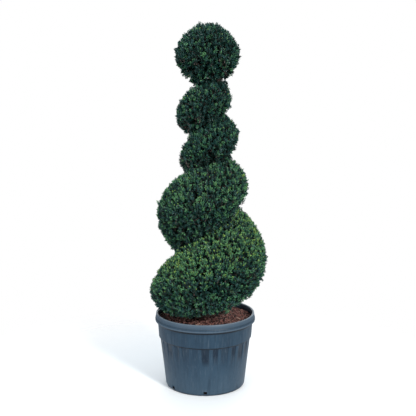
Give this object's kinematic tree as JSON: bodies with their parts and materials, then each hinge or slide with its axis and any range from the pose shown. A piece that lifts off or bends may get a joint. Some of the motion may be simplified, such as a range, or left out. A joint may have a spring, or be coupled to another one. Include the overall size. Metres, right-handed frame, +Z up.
{
  "type": "spiral topiary shrub in a nursery pot",
  "caption": "Tall evergreen shrub clipped as a leafy band that spirals up its trunk to a round ball, standing in a tapered plastic nursery pot of bark mulch.",
  "frame": {"origin": "centre of the flat underside of the pot", "axes": "+Z up along the trunk; the viewer's front is -Y, +X is to the viewer's right; the spiral rises anticlockwise seen from above"},
  "size_m": [0.9352, 0.9039, 2.8767],
  "materials": {
    "foliage": "small dark green leaves with a soft waxy sheen, yellow-green at the young tips",
    "bark": "matt, finely ridged grey-brown bark",
    "mulch": "matt, coarse reddish-brown bark chips over damp compost",
    "pot_plastic": "satin blue-grey moulded plastic, lightly scuffed and dusty"
  },
  "bodies": {
    "root": {"pot": "pot_plastic", "mulch_root_ball": "mulch", "trunk": "bark", "foliage_ball_top": "foliage", "foliage_band_start_back": "foliage", "foliage_turn1_left": "foliage", "foliage_turn1_front": "foliage", "foliage_turn1_right": "foliage", "foliage_turn1_back": "foliage", "foliage_turn2_left": "foliage", "foliage_turn2_front": "foliage", "foliage_turn2_right": "foliage", "foliage_turn2_back": "foliage", "foliage_turn3_left": "foliage", "foliage_turn3_front": "foliage", "foliage_turn3_right": "foliage", "foliage_turn3_back": "foliage", "foliage_turn4_left": "foliage", "foliage_turn4_front": "foliage", "foliage_turn4_right": "foliage", "foliage_turn4_back": "foliage"}
  },
  "joints": []
}
